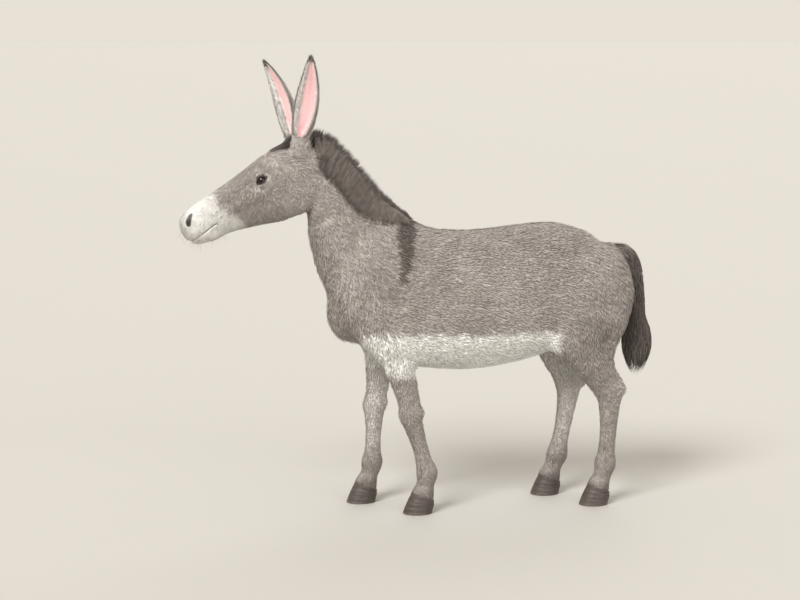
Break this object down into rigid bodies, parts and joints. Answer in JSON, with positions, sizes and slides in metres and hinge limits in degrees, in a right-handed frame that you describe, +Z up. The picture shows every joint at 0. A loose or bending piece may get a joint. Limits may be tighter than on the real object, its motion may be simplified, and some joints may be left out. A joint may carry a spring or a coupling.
{
  "type": "donkey model",
  "caption": "Life-size standing grey donkey with pale belly and muzzle, dark mane, tail and hooves, long upright ears and legs in an easy step.",
  "frame": {"origin": "centre of the whole bounding box, at the level of the soles", "axes": "+Z up; the animal faces -Y; +X is its left side"},
  "size_m": [0.4382, 1.7432, 1.6441],
  "materials": {
    "coat": "matt short fur, grey with a paler belly and muzzle",
    "ear": "matt short fur outside, pink skin inside",
    "hair": "coarse dark hair",
    "hoof": "dull dark horn",
    "eye": "wet, very dark"
  },
  "bodies": {
    "root": {"trunk": "coat", "neck": "coat", "head": "coat", "ear_left": "ear", "ear_right": "ear", "eye_left": "eye", "eye_right": "eye", "mane": "hair", "forelock": "hair", "tail": "hair", "tail_tuft": "hair", "leg_front_left_upper": "coat", "leg_front_left_lower": "coat", "hoof_front_left": "hoof", "leg_front_right_upper": "coat", "leg_front_right_lower": "coat", "hoof_front_right": "hoof", "leg_hind_left_upper": "coat", "leg_hind_left_lower": "coat", "hoof_hind_left": "hoof", "leg_hind_right_upper": "coat", "leg_hind_right_lower": "coat", "hoof_hind_right": "hoof"}
  },
  "joints": []
}
